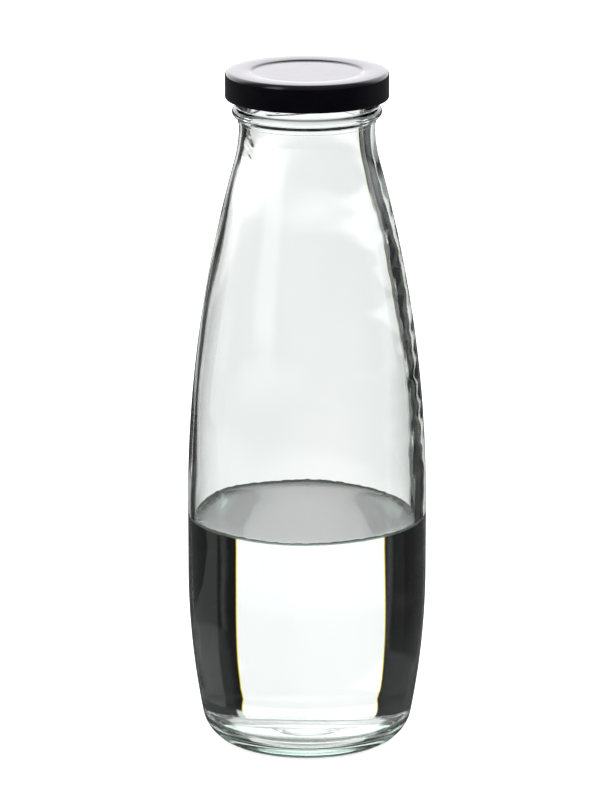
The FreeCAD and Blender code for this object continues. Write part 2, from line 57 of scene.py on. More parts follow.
# The bottle's side, as a run of tangent arcs.
WALL = 2.6 * MM
FOOT_RADIUS = 21.84 * MM
FOOT_INNER = 19.4 * MM
PUSH_UP = 2.2 * MM
MARK_RADIUS = 5.8 * MM
MARK_DEPTH = 0.5 * MM
MARK_WIDTH = 0.9 * MM
BELLY_LOW = 53.1 * MM
BELLY_HIGH = 73.2 * MM
LOWER_SWEEP = 237.4 * MM
SHOULDER_SWEEP = 396.5 * MM
THROAT_SWEEP = 39.9 * MM
NECK_RADIUS = 20.25 * MM
SEAM_HEIGHT = 190.8 * MM
SEAM_RADIUS = 20.55 * MM
BEAD_START = 191.9 * MM
BEAD_HEIGHT = 194.15 * MM
BEAD_RADIUS = 22.25 * MM
BEAD_ROUND = 1.6 * MM
BEAD_BLEND = 0.6 * MM
FINISH_RADIUS = 21.0 * MM
RIM_ROUND = 1.2 * MM
BORE_ROUND = 1.0 * MM
FLOOR_HEIGHT = 6.3 * MM
FLOOR_SWEEP = 170.0 * MM
FLOOR_CORNER = 8.5 * MM

# The mould seams, a chill mark inside the neck, and the heel's stipple.
SEAM_ANGLE = math.radians(12)
SEAM_RELIEF = 0.05 * MM
SEAM_WIDTH = 0.22 * MM
COLD_ANGLE = math.radians(208)
COLD_HEIGHT = 184.0 * MM
BEADS = 190
BEAD_SIZE = 0.36 * MM
BEAD_RISE = 0.16 * MM
BEAD_TILTS = (-64, -54)

# The threads and lugs, on one right-hand helix for each start.
STARTS = 4
LEAD = 15.0 * MM
THREAD_LOW = 196.0 * MM
THREAD_HEIGHT = 1.9 * MM
THREAD_DEPTH = 1.6 * MM
THREAD_ANGLE = 110.0
THREAD_START = -127.0
LUG_LEAD_IN = 86.0
LUG_ANGLE = 15.0
LUG_THICK = 1.1 * MM
LUG_GAP = 0.3 * MM
LUG_TIP = 21.7 * MM
LUG_BACK = 23.2 * MM

# The liquid.
MENISCUS_CLIMB = 1.25 * MM
MENISCUS_DECAY = 1.5 * MM
LEVEL = WATER_HIGH.z - 0.68 * MM
WETTED = 0.12 * MM
EDGE_DEPTH = 1.0 * MM
EDGE_WIDTH = 0.9 * MM

# The lid's section.
SHEET = 0.22 * MM
PANEL_DROP = 0.6 * MM
PANEL_RADIUS = 15.7 * MM
PANEL_ROUND = 1.8 * MM
STEP_ROUND = 1.6 * MM
CROWN_RADIUS = 20.6 * MM
CROWN_SWEEP = 40.0 * MM
CORNER_ROUND = 1.35 * MM
CURL_ROUND = 0.72 * MM
CURL_HEIGHT = LID_LOW.z + CURL_ROUND

SEGMENTS = 384

# The studio: directions in degrees, light as a share of white.
PANEL_RIGHT = 19.8
PANEL_LEFT = 22.3
PANEL_LIGHT = 1.08
PANEL_SOFT = 0.35
FRINGES = ((0.0, 1.0), (0.06, 0.985), (0.35, 1.03))
LIQUID_GAIN = 1.15
FLAG_END = 84.0
BANK_LIGHT = 2.3
OVERHEAD_LIGHT = 0.38


# ---------------------------------------------------------------- plane geometry

def along(centre, radius, angle):
    """The point on a circle at an angle in degrees."""
    angle = math.radians(angle)
    return centre[0] + radius * math.cos(angle), centre[1] + radius * math.sin(angle)


def angle_to(start, end):
    return math.degrees(math.atan2(end[1] - start[1], end[0] - start[0]))


def arc(centre, radius, first, last, step=0.5 * MM):
    """Points round a circle from one angle to another, no further apart than the step."""
    length = abs(math.radians(last - first)) * radius
    count = max(3, math.ceil(length / step), math.ceil(abs(last - first) / 9))
    return [along(centre, radius, first + (last - first) * i / count) for i in range(count + 1)]


def straight(start, end, step=0.5 * MM):
    """Points along a line, no further apart than the step."""
    count = max(1, math.ceil(math.dist(start, end) / step))
    return [(start[0] + (end[0] - start[0]) * i / count, start[1] + (end[1] - start[1]) * i / count)
            for i in range(count + 1)]


def crossing(first, first_radius, second, second_radius):
    """The crossing of two circles that lies up and to the right of the line between them."""
    gap = math.dist(first, second)
    reach = (first_radius ** 2 - second_radius ** 2 + gap ** 2) / (2 * gap)
    aside = math.sqrt(first_radius ** 2 - reach ** 2)
    unit = (second[0] - first[0]) / gap, (second[1] - first[1]) / gap
    foot = first[0] + reach * unit[0], first[1] + reach * unit[1]
    return foot[0] + aside * abs(unit[1]), foot[1] + aside * abs(unit[0])


def chain(*runs):
    """Runs of points as one outline, without the points that two runs share."""
    points = []
    for run in runs:
        for point in run:
            if not points or math.dist(points[-1], point) > 1e-7:
                points.append(point)
    return points


# ---------------------------------------------------------------- lathe

def lathe(name, outline, angles, shift=None):
    """A closed mesh turned from an outline that starts and ends on the axis.

    The angles are those of the mesh's columns. shift takes the radius, height, angle and part of
    every point, as arrays, and gives a change of radius; part is the point's place in the outline.
    """
    outline = np.array(outline)
    inner = outline[1:-1]
    rows, columns = len(inner), len(angles)
    radius = np.repeat(inner[:, :1], columns, 1)
    height = np.repeat(inner[:, 1:], columns, 1)
    angle = np.repeat(np.array(angles)[None], rows, 0)
    place = np.repeat(np.arange(1, rows + 1)[:, None], columns, 1)
    if shift is not None:
        radius = radius + shift(radius, height, angle, place)
    ring = np.stack([radius * np.cos(angle), radius * np.sin(angle), height], -1).reshape(-1, 3)
    points = np.vstack([[0, 0, outline[0, 1]], ring, [0, 0, outline[-1, 1]]])
    first, last = 0, len(points) - 1

    faces = []
    for i in range(columns):
        j = (i + 1) % columns
        faces.append((first, 1 + j, 1 + i))
        for row in range(rows - 1):
            low, high = 1 + row * columns, 1 + (row + 1) * columns
            faces.append((low + i, low + j, high + j, high + i))
        faces.append((last, 1 + (rows - 1) * columns + i, 1 + (rows - 1) * columns + j))
    return make_object(name, points, faces)


def ring_lathe(name, section, angles):
    """A closed mesh turned from a closed section that stays clear of the axis."""
    section = np.array(section)
    rows, columns = len(section), len(angles)
    radius = np.repeat(section[:, :1], columns, 1)
    height = np.repeat(section[:, 1:], columns, 1)
    angle = np.repeat(np.array(angles)[None], rows, 0)
    points = np.stack([radius * np.cos(angle), radius * np.sin(angle), height], -1).reshape(-1, 3)
    faces = []
    for row in range(rows):
        low, high = row * columns, (row + 1) % rows * columns
        for i in range(columns):
            j = (i + 1) % columns
            faces.append((low + i, low + j, high + j, high + i))
    return make_object(name, points, faces)


def make_object(name, points, faces):
    mesh = bpy.data.meshes.new(name)
    mesh.from_pydata([tuple(point) for point in points], [], faces)
    mesh.validate()
    mesh.shade_smooth()
    piece = bpy.data.objects.new(name, mesh)
    bpy.context.scene.collection.objects.link(piece)
    return piece


def even_angles(count):
    return [2 * math.pi * i / count for i in range(count)]


def smooth(low, high, value):
    t = np.clip((value - low) / (high - low), 0, 1)
    return t * t * (3 - 2 * t)


# ---------------------------------------------------------------- glass

class Side:
    """The bottle's side, outside or a skin's depth within it."""

    def __init__(self, skin):
        self.belly = BODY_RADIUS - skin
        self.neck = NECK_RADIUS - skin
        self.lower = LOWER_SWEEP - skin
        self.shoulder = SHOULDER_SWEEP - skin
        self.throat = THROAT_SWEEP + skin
        self.lower_centre = (BODY_RADIUS - LOWER_SWEEP, BELLY_LOW)
        self.shoulder_centre = (BODY_RADIUS - SHOULDER_SWEEP, BELLY_HIGH)
        reach = SHOULDER_SWEEP + THROAT_SWEEP
        shift = reach - BODY_RADIUS + NECK_RADIUS
        self.bend = math.degrees(math.acos(shift / reach))
        self.neck_foot = BELLY_HIGH + math.sqrt(reach ** 2 - shift ** 2)
        self.throat_centre = (NECK_RADIUS + THROAT_SWEEP, self.neck_foot)

    def below_belly(self, low_angle):
        return arc(self.lower_centre, self.lower, low_angle, 0, 1.5 * MM)

    def above_belly(self):
        return chain(
            straight((self.belly, BELLY_LOW), (self.belly, BELLY_HIGH), 2 * MM),
            arc(self.shoulder_centre, self.shoulder, 0, self.bend, 1.5 * MM),
            arc(self.throat_centre, self.throat, 180 + self.bend, 180, 0.8 * MM),
        )


def heel_round(side):
    """The radius of the heel's arc, tangent to the foot and to the lower body."""
    reach = FOOT_RADIUS - side.lower_centre[0]
    return (LOWER_SWEEP ** 2 - reach ** 2 - BELLY_LOW ** 2) / (2 * (LOWER_SWEEP - BELLY_LOW))


def outside():
    """The outer outline, from the centre of the push-up to the top of the rim."""
    side = Side(0)
    heel_radius = heel_round(side)
    heel_angle = angle_to(side.lower_centre, (FOOT_RADIUS, heel_radius))
    dome_sweep = (FOOT_INNER ** 2 + PUSH_UP ** 2) / (2 * PUSH_UP)
    dome_centre = (0, PUSH_UP - dome_sweep)
    bead_centre = (BEAD_RADIUS - BEAD_ROUND, BEAD_HEIGHT)
    blend_reach = BEAD_ROUND + BEAD_BLEND
    blend_angle = math.degrees(math.acos((FINISH_RADIUS + BEAD_BLEND - bead_centre[0]) / blend_reach))
    blend_centre = along(bead_centre, blend_reach, blend_angle)
    rim_centre = (FINISH_RADIUS - RIM_ROUND, RIM - RIM_ROUND)
    foot_round = 0.5 * MM
    dome = arc(dome_centre, dome_sweep, 90, angle_to(dome_centre, (FOOT_INNER, 0)), 0.2 * MM)
    dome = [(r, z + MARK_DEPTH * math.exp(-((r - MARK_RADIUS) / MARK_WIDTH) ** 2)) for r, z in dome]
    return chain(
        dome,
        arc((FOOT_INNER + foot_round, foot_round), foot_round, 230, 270, 0.15 * MM),
        arc((FOOT_RADIUS, heel_radius), heel_radius, -90, heel_angle, 0.4 * MM),
        side.below_belly(heel_angle),
        side.above_belly(),
        straight((side.neck, side.neck_foot), (side.neck, SEAM_HEIGHT - 0.15 * MM), 0.5 * MM),
        arc((side.neck + 0.15 * MM, SEAM_HEIGHT), 0.15 * MM, 180, 90, 0.05 * MM),
        arc((SEAM_RADIUS - 0.15 * MM, SEAM_HEIGHT + 0.3 * MM), 0.15 * MM, -90, 0, 0.05 * MM),
        straight((SEAM_RADIUS, SEAM_HEIGHT + 0.3 * MM), (SEAM_RADIUS, BEAD_START), 0.2 * MM),
        arc(bead_centre, BEAD_ROUND, -48, blend_angle, 0.15 * MM),
        arc(blend_centre, BEAD_BLEND, 180 + blend_angle, 180, 0.12 * MM),
        straight((FINISH_RADIUS, blend_centre[1]), (FINISH_RADIUS, rim_centre[1]), 0.12 * MM),
        arc(rim_centre, RIM_ROUND, 0, 90, 0.2 * MM),
    )


def inside(skin, film=0.0):
    """The inner outline from the foot of the neck's edge down to the centre of the floor."""
    side = Side(skin)
    floor_centre = (0, FLOOR_HEIGHT - FLOOR_SWEEP)
    corner_centre = crossing(floor_centre, FLOOR_SWEEP + FLOOR_CORNER,
                             side.lower_centre, LOWER_SWEEP - WALL - FLOOR_CORNER)
    floor_angle = angle_to(floor_centre, corner_centre)
    side_angle = angle_to(side.lower_centre, corner_centre)
    return side, chain(
        arc(floor_centre, FLOOR_SWEEP + film, 90, floor_angle, 0.6 * MM),
        arc(corner_centre, FLOOR_CORNER - film, floor_angle - 180, side_angle, 0.4 * MM),
        side.below_belly(side_angle),
    )


def thread_relief(height, angle):
    """How far the threads stand out of the finish wall, fading in and out at their ends."""
    relief = np.zeros_like(height)
    half = THREAD_HEIGHT / 2
    for start in range(STARTS):
        begin = math.radians(THREAD_START + 360 / STARTS * start)
        turn = np.degrees((angle - begin) % (2 * math.pi))
        middle = THREAD_LOW + half + LEAD * turn / 360
        off = np.abs(height - middle) / half
        section = 1 - smooth(0.35, 1.0, off)
        ends = smooth(0, 14, turn) * (1 - smooth(THREAD_ANGLE - 12, THREAD_ANGLE, turn))
        relief = np.maximum(relief, THREAD_DEPTH * section * ends)
    return relief


def wall_drift(height, angle):
    """The unevenness of the blown inner wall: thicker towards +X, with slow waves and a few folds."""
    high = height / RIM
    upper = smooth(0.36, 0.46, high) * (1 - smooth(0.80, 0.90, high))
    drift = (0.22 + 0.42 * upper) * np.cos(angle - 0.1)
    drift = drift + 0.10 * np.sin(2 * angle + 9 * high) + 0.07 * np.sin(3 * angle - 14 * high + 1)
    drift = drift + 0.05 * np.sin(5 * angle + 23 * high) + 0.06 * np.sin(angle + 40 * high)
    right = np.exp(-((angle + 0.4) % (2 * math.pi) / 1.1) ** 2) + np.exp(-((2 * math.pi - angle) / 1.1) ** 2)
    folds = np.sin(107 * high + 2 * angle) + 0.7 * np.sin(191 * high - 3 * angle + 2)
    folds = folds + 0.5 * np.sin(63 * high)
    drift = drift + 0.022 * folds * right * upper
    cold = np.exp(-(((angle - COLD_ANGLE) * 8) ** 2 + ((height - COLD_HEIGHT) / (4.5 * MM)) ** 2))
    ragged = 1 + 0.6 * np.sin(1400 * height + 5) + 0.4 * np.sin(3100 * height + 30 * angle)
    drift = drift + 0.16 * cold * ragged
    fade = smooth(0.03, 0.09, high) * (1 - smooth(0.93, 0.97, high))
    return -drift * fade * MM


def seam_relief(height, angle):
    """The two mould seams, a fine raised line up each side."""
    relief = np.zeros_like(height)
    for seam in (SEAM_ANGLE, SEAM_ANGLE + math.pi):
        off = (angle - seam + math.pi) % (2 * math.pi) - math.pi
        relief = relief + SEAM_RELIEF * np.exp(-(off * BODY_RADIUS / SEAM_WIDTH) ** 2)
    return relief * smooth(4 * MM, 9 * MM, height)


def glass_angles():
    """Even columns, with closer ones at the mould seams."""
    angles = set(even_angles(SEGMENTS))
    fine = 0.11 * MM / BODY_RADIUS
    for seam in (SEAM_ANGLE, SEAM_ANGLE + math.pi):
        angles = {a for a in angles if abs(a - seam) > 7 * fine}
        angles |= {seam + fine * i for i in range(-5, 6)}
    return sorted(angles)


def make_glass():
    side, low = inside(WALL)
    lip_centre = (side.neck + BORE_ROUND, RIM - BORE_ROUND)
    outer = outside()
    bore = straight((side.neck, side.neck_foot), (side.neck, lip_centre[1]), 1 * MM)
    inner = chain(low, side.above_belly(), bore, arc(lip_centre, BORE_ROUND, 180, 90, 0.2 * MM))
    split = len(outer)
    outline = chain(outer, inner[::-1])

    def shift(radius, height, angle, place):
        on_finish = (place < split) & (height > BEAD_HEIGHT + BEAD_ROUND)
        on_side = (place < split) & (height < SEAM_HEIGHT) & (radius > FOOT_RADIUS)
        change = np.where(on_finish, thread_relief(height, angle), 0.0)
        change = change + np.where(on_side, seam_relief(height, angle), 0.0)
        return change + np.where(place >= split, wall_drift(height, angle), 0.0)

    return lathe("bottle_glass", outline, glass_angles(), shift)


def make_stipple():
    """The bearing ring's stipple: two rows of small round beads on the heel."""
    heel_radius = heel_round(Side(0))
    points, faces = [], []
    rings, sides = 4, 8
    for row, tilt in enumerate(BEAD_TILTS):
        r, z = along((FOOT_RADIUS, heel_radius), heel_radius, tilt)
        normal = np.array([math.cos(math.radians(tilt)), 0, math.sin(math.radians(tilt))])
        rise = np.array([-normal[2], 0, normal[0]])
        for i in range(BEADS):
            angle = 2 * math.pi * (i + row / 2) / BEADS
            cos, sin = math.cos(angle), math.sin(angle)
            turn = np.array([[cos, -sin, 0], [sin, cos, 0], [0, 0, 1]])
            base = len(points)
            for ring in range(1, rings + 1):
                lift = math.cos(math.pi * ring / (rings + 1))
                wide = math.sin(math.pi * ring / (rings + 1))
                for k in range(sides):
                    a = 2 * math.pi * k / sides
                    flat = BEAD_SIZE * wide * (math.cos(a) * rise + math.sin(a) * np.array([0, 1, 0]))
                    points.append(turn @ (np.array([r, 0, z]) + flat + BEAD_RISE * lift * normal))
            points.append(turn @ (np.array([r, 0, z]) + BEAD_RISE * normal))
            points.append(turn @ (np.array([r, 0, z]) - BEAD_RISE * normal))
            top, bottom = len(points) - 2, len(points) - 1
            for k in range(sides):
                j = (k + 1) % sides
                faces.append((top, base + j, base + k))
                for ring in range(rings - 1):
                    low, high = base + ring * sides, base + (ring + 1) * sides
                    faces.append((low + k, low + j, high + j, high + k))
                last = base + (rings - 1) * sides
                faces.append((bottom, last + k, last + j))
    return make_object("heel_stipple", points, faces)


def make_water():
    """The liquid, which wets the glass: its side lies just inside the wall's own surface."""
    side, low = inside(WALL - WETTED, -WETTED)
    top = LEVEL + MENISCUS_CLIMB
    belly = straight((side.belly, BELLY_LOW), (side.belly, top - EDGE_DEPTH), 1.5 * MM)
    belly = chain(belly, straight((side.belly, top - EDGE_DEPTH), (side.belly, top), 0.2 * MM))
    wall_radius = side.belly - WETTED
    radii = [wall_radius + WETTED * 0.5]
    radii += [wall_radius * (1 - (i / 60) ** 2.2) for i in range(61)]
    climbs = [min(1, math.exp(-(wall_radius - r) / MENISCUS_DECAY)) for r in radii]
    surface = [(r, LEVEL + MENISCUS_CLIMB * climb) for r, climb in zip(radii, climbs)]
    outline = chain(low, belly, surface)
    rows = len(outline) - 1
    edge_low = top - EDGE_DEPTH + 0.05 * MM
    wet = [i for i, (r, z) in enumerate(outline) if z > edge_low and r > wall_radius - EDGE_WIDTH]

    def shift(radius, height, angle, place):
        return wall_drift(height, angle) * smooth(0.8, 1.0, radius / wall_radius)

    piece = lathe("water_fill", outline, even_angles(SEGMENTS), shift)
    # The band at the top of the side takes the second material, a painted reflection of the light gathered
    # at the meniscus.
    for index, face in enumerate(piece.data.polygons):
        face.material_index = 1 if wet[0] <= index % rows <= wet[-1] else 0
    for vertex in piece.data.vertices:
        share = (vertex.co.z - LEVEL) / MENISCUS_CLIMB
        if share > 0.2:
            angle = math.atan2(vertex.co.y, vertex.co.x)
            ragged = math.sin(37 * angle) + math.sin(61 * angle + 1) + 0.8 * math.sin(113 * angle + 2)
            vertex.co.z += 0.07 * MM * share * (ragged + 2 * math.sin(5 * angle + 0.6))
    return piece


# ---------------------------------------------------------------- lid

def lid_face(skin):
    """One face of the lid's sheet, from its centre to the free edge of the curl."""
    panel_height = LID_TOP - PANEL_DROP
    foot_centre = (PANEL_RADIUS, panel_height + PANEL_ROUND)
    crown_centre = (CROWN_RADIUS, LID_TOP - CROWN_SWEEP)
    head_centre = crossing(foot_centre, PANEL_ROUND + STEP_ROUND, crown_centre, CROWN_SWEEP - STEP_ROUND)
    slope = angle_to(foot_centre, head_centre)
    head_angle = angle_to(crown_centre, head_centre)
    corner_x = LID_RADIUS - CORNER_ROUND
    corner_angle = math.degrees(math.acos((corner_x - CROWN_RADIUS) / (CROWN_SWEEP - CORNER_ROUND)))
    corner_centre = along(crown_centre, CROWN_SWEEP - CORNER_ROUND, corner_angle)
    curl_centre = (LID_RADIUS - CURL_ROUND, CURL_HEIGHT)
    return chain(
        straight((0, panel_height - skin), (PANEL_RADIUS, panel_height - skin), 1 * MM),
        arc(foot_centre, PANEL_ROUND + skin, -90, slope, 0.15 * MM),
        arc(head_centre, STEP_ROUND - skin, 180 + slope, head_angle, 0.15 * MM),
        arc(crown_centre, CROWN_SWEEP - skin, head_angle, corner_angle, 0.4 * MM),
        arc(corner_centre, CORNER_ROUND - skin, corner_angle, 0, 0.12 * MM),
        straight((LID_RADIUS - skin, corner_centre[1]), (LID_RADIUS - skin, CURL_HEIGHT), 0.5 * MM),
        arc(curl_centre, CURL_ROUND - skin, 360, 90, 0.12 * MM),
    )


def make_lid():
    outer = lid_face(0)
    under = lid_face(SHEET)
    piece = lathe("lid_cap", chain(under, outer[::-1]), even_angles(SEGMENTS))
    split = len(under)
    rows_per_column = len(under) + len(outer) - 1
    for index, face in enumerate(piece.data.polygons):
        face.material_index = 1 if index % rows_per_column < split - 1 else 0
    return piece


def make_lugs():
    """The lugs pressed in from the curl, each a rounded tongue on the thread's helix."""
    points, faces = [], []
    steps, turns = 24, 18
    for start in range(STARTS):
        begin = THREAD_START + LUG_LEAD_IN + 360 / STARTS * start
        base = len(points)
        for i in range(steps + 1):
            share = i / steps
            turn = LUG_LEAD_IN + LUG_ANGLE * share
            top = THREAD_LOW + LEAD * turn / 360 - LUG_GAP
            ends = math.sqrt(max(0.0, 1 - abs(2 * share - 1) ** 6))
            tip = LUG_BACK - (LUG_BACK - LUG_TIP) * max(0.15, ends)
            section = lug_section(tip, top, turns)
            angle = math.radians(begin + LUG_ANGLE * share)
            points += [(r * math.cos(angle), r * math.sin(angle), z) for r, z in section]
        count = len(section)
        for i in range(steps):
            low, high = base + i * count, base + (i + 1) * count
            for k in range(count):
                j = (k + 1) % count
                faces.append((low + k, low + j, high + j, high + k))
        faces.append(tuple(base + k for k in range(count))[::-1])
        faces.append(tuple(base + steps * count + k for k in range(count)))
    return make_object("lid_lugs", points, faces)


def lug_section(tip, top, turns):
    half = LUG_THICK / 2
    centre = (min(tip + half, LUG_BACK - 0.05 * MM), top - half)
    nose = [along(centre, half, 90 + 180 * k / turns) for k in range(turns + 1)]
    return nose + [(LUG_BACK, top - LUG_THICK), (LUG_BACK, top)]


def make_seal():
    """The ring of compound, with the rim's print in its underside and soft edges."""
    inner, outer = 18.0 * MM, SEAL_HIGH.x
    low, top = RIM + 0.05 * MM, SEAL_HIGH.z
    lip_low = SEAL_LOW.z
    soft = 0.28 * MM
    section = chain(
        arc((inner + soft, top - soft), soft, 90, 180, 0.08 * MM),
        arc((inner + soft, low + soft * 0.5), soft * 0.5, 180, 270, 0.06 * MM),
        straight((inner + soft, low), (20.3 * MM, low), 0.3 * MM),
        straight((20.3 * MM, low), (21.4 * MM, lip_low), 0.15 * MM),
        arc((outer - soft, lip_low + soft), soft, 270, 360, 0.08 * MM),
        arc((outer - soft, top - soft), soft, 0, 90, 0.08 * MM),
    )
    return ring_lathe("seal_ring", section, even_angles(SEGMENTS // 2))


# ---------------------------------------------------------------- materials

def new_material(name):
    material = bpy.data.materials.new(name)
    material.use_nodes = True
    nodes = material.node_tree.nodes
    return material, nodes, material.node_tree.links, nodes["Principled BSDF"]


def add_noise(nodes, links, scale, detail=3.0, stretch=(1, 1, 1)):
    """A noise texture on the object's own coordinates."""
    place = nodes.new("ShaderNodeTexCoord")
    mapping = nodes.new("ShaderNodeMapping")
    mapping.inputs["Scale"].default_value = stretch
    noise = nodes.new("ShaderNodeTexNoise")
    noise.inputs["Scale"].default_value = scale
    noise.inputs["Detail"].default_value = detail
    links.new(place.outputs["Object"], mapping.inputs["Vector"])
    links.new(mapping.outputs["Vector"], noise.inputs["Vector"])
    return noise.outputs["Fac"]


def add_ramp(nodes, links, source, stops):
    """A colour ramp: each stop is a place and a colour or a grey."""
    ramp = nodes.new("ShaderNodeValToRGB")
    elements = ramp.color_ramp.elements
    while len(elements) < len(stops):
        elements.new(0.5)
    for element, (place, colour) in zip(elements, stops):
        element.position = place
        element.color = (colour,) * 3 + (1,) if isinstance(colour, float) else tuple(colour) + (1,)
    links.new(source, ramp.inputs["Fac"])
    return ramp.outputs["Color"]


def add_bump(nodes, links, shader, source, strength, distance):
    bump = nodes.new("ShaderNodeBump")
    bump.inputs["Strength"].default_value = strength
    bump.inputs["Distance"].default_value = distance
    links.new(source, bump.inputs["Height"])
    links.new(bump.outputs["Normal"], shader.inputs["Normal"])


def glass_material():
    """Soda-lime glass: a trace of green, slow waves from the mould and a faint handling haze."""
    material, nodes, links, shader = new_material("clear_bottle_glass")
    shader.inputs["IOR"].default_value = 1.52
    shader.inputs["Transmission Weight"].default_value = 1.0
    tint = add_noise(nodes, links, 34, 3, (1, 1, 0.3))
    links.new(add_ramp(nodes, links, tint, [(0.35, (0.962, 0.972, 0.972)), (0.65, (1.0, 1.0, 1.0))]),
              shader.inputs["Base Color"])
    haze = add_noise(nodes, links, 90, 5)
    links.new(add_ramp(nodes, links, haze, [(0.55, 0.0), (0.85, 0.035)]), shader.inputs["Roughness"])
    wave = add_noise(nodes, links, 45, 1, (1, 1, 0.35))
    ripple = add_noise(nodes, links, 330, 2, (1, 1, 2.5))
    both = nodes.new("ShaderNodeMath")
    both.operation = "MULTIPLY_ADD"
    both.inputs[1].default_value = 0.02
    links.new(ripple, both.inputs[0])
    links.new(wave, both.inputs[2])
    add_bump(nodes, links, shader, both.outputs[0], 0.12, 0.4 * MM)
    volume = nodes.new("ShaderNodeVolumeAbsorption")
    volume.inputs["Color"].default_value = (0.55, 0.78, 0.66, 1)
    volume.inputs["Density"].default_value = 20.0
    links.new(volume.outputs["Volume"], nodes["Material Output"].inputs["Volume"])
    return material


def water_material():
    """Still clear water, with the slightest ripple so that its mirror isn't perfect."""
    material, nodes, links, shader = new_material("clear_water")
    shader.inputs["IOR"].default_value = 1.333
    shader.inputs["Transmission Weight"].default_value = 1.0
    tint = add_noise(nodes, links, 25, 1)
    links.new(add_ramp(nodes, links, tint, [(0.3, (0.985, 0.995, 0.99)), (0.7, (1.0, 1.0, 1.0))]),
              shader.inputs["Base Color"])
    links.new(add_ramp(nodes, links, add_noise(nodes, links, 40, 2), [(0.4, 0.0), (0.9, 0.01)]),
              shader.inputs["Roughness"])
    return material


def meniscus_painted_reflection_material():
    """The thin edge where the water climbs the glass: a painted reflection, a green-grey colour that stands
    in for the light the meniscus gathers by internal reflections in the glass.
    """
    material, nodes, links, shader = new_material("meniscus_painted_reflection")
    shader.inputs["IOR"].default_value = 1.333
    shader.inputs["Transmission Weight"].default_value = 0.35
    cloud = add_noise(nodes, links, 700, 4)
    # Painted reflection: this green-grey base colour stands in for light gathered at the meniscus, not a
    # colour of the water.
    links.new(add_ramp(nodes, links, cloud, [(0.3, (0.38, 0.48, 0.41)), (0.7, (0.54, 0.64, 0.57))]),
              shader.inputs["Base Color"])
    links.new(add_ramp(nodes, links, add_noise(nodes, links, 500, 2), [(0.3, 0.12), (0.7, 0.25)]),
              shader.inputs["Roughness"])
    return material


def lacquer_material():
    """Black gloss lacquer on steel: fine orange peel, dust and light rubbing."""
    material, nodes, links, shader = new_material("black_gloss_lacquer")
    shader.inputs["IOR"].default_value = 1.5
    cloud = add_noise(nodes, links, 120, 4)
    blacks = [(0.35, (0.0012, 0.0010, 0.0022)), (0.75, (0.0024, 0.0021, 0.0036))]
    links.new(add_ramp(nodes, links, cloud, blacks), shader.inputs["Base Color"])
    rub = add_noise(nodes, links, 260, 6, (1, 1, 0.4))
    links.new(add_ramp(nodes, links, rub, [(0.35, 0.09), (0.75, 0.17)]), shader.inputs["Roughness"])
    add_bump(nodes, links, shader, add_noise(nodes, links, 900, 2), 0.04, 0.05 * MM)
    return material


def underside_material():
    """The grey lacquer on the lid's underside."""
    material, nodes, links, shader = new_material("grey_inside_lacquer")
    cloud = add_noise(nodes, links, 200, 4)
    links.new(add_ramp(nodes, links, cloud, [(0.3, (0.17, 0.175, 0.17)), (0.7, (0.24, 0.245, 0.24))]),
              shader.inputs["Base Color"])
    links.new(add_ramp(nodes, links, add_noise(nodes, links, 400, 3), [(0.3, 0.24), (0.7, 0.36)]),
              shader.inputs["Roughness"])
    return material


def compound_material():
    """Soft cream sealing compound."""
    material, nodes, links, shader = new_material("cream_compound")
    cloud = add_noise(nodes, links, 500, 4)
    links.new(add_ramp(nodes, links, cloud, [(0.3, (0.66, 0.60, 0.46)), (0.7, (0.76, 0.71, 0.58))]),
              shader.inputs["Base Color"])
    links.new(add_ramp(nodes, links, add_noise(nodes, links, 700, 2), [(0.3, 0.42), (0.7, 0.58)]),
              shader.inputs["Roughness"])
    add_bump(nodes, links, shader, add_noise(nodes, links, 1500, 2), 0.15, 0.05 * MM)
    return material


# ---------------------------------------------------------------- the studio

def make_floor():
    mesh = bpy.data.meshes.new("floor")
    half = 6.0
    corners = [(-half, -half, 0), (half, -half, 0), (half, half, 0), (-half, half, 0)]
    mesh.from_pydata(corners, [], [(0, 1, 2, 3)])
    floor = bpy.data.objects.new("floor", mesh)
    bpy.context.scene.collection.objects.link(floor)
    floor.location.z = -0.05 * MM
    floor.visible_transmission = False
    floor.visible_glossy = False
    material, _, _, shader = new_material("pale_floor")
    shader.inputs["Base Color"].default_value = (0.9, 0.9, 0.9, 1)
    shader.inputs["Roughness"].default_value = 0.9
    shader.inputs["Specular IOR Level"].default_value = 0.0
    shader.inputs["Emission Color"].default_value = (1, 1, 1, 1)
    shader.inputs["Emission Strength"].default_value = 0.82
    mesh.materials.append(material)


class WorldNodes:
    """Short calls for the world's maths on a direction."""

    def __init__(self, tree):
        self.tree = tree

    def math(self, operation, *values):
        node = self.tree.nodes.new("ShaderNodeMath")
        node.operation = operation
        for socket, value in zip(node.inputs, values):
            if isinstance(value, (int, float)):
                socket.default_value = value
            else:
                self.tree.links.new(value, socket)
        return node.outputs[0]

    def step(self, value, low, high):
        """0 below low and 1 above high, smooth between them."""
        node = self.tree.nodes.new("ShaderNodeMapRange")
        node.interpolation_type = "SMOOTHSTEP"
        self.tree.links.new(value, node.inputs["Value"])
        node.inputs["From Min"].default_value = low
        node.inputs["From Max"].default_value = high
        return node.outputs["Result"]

    def mix(self, share, first, second):
        """first where share is 0 and second where it is 1."""
        return self.math("ADD", self.math("MULTIPLY", self.math("SUBTRACT", 1, share), first),
                         self.math("MULTIPLY", share, second))


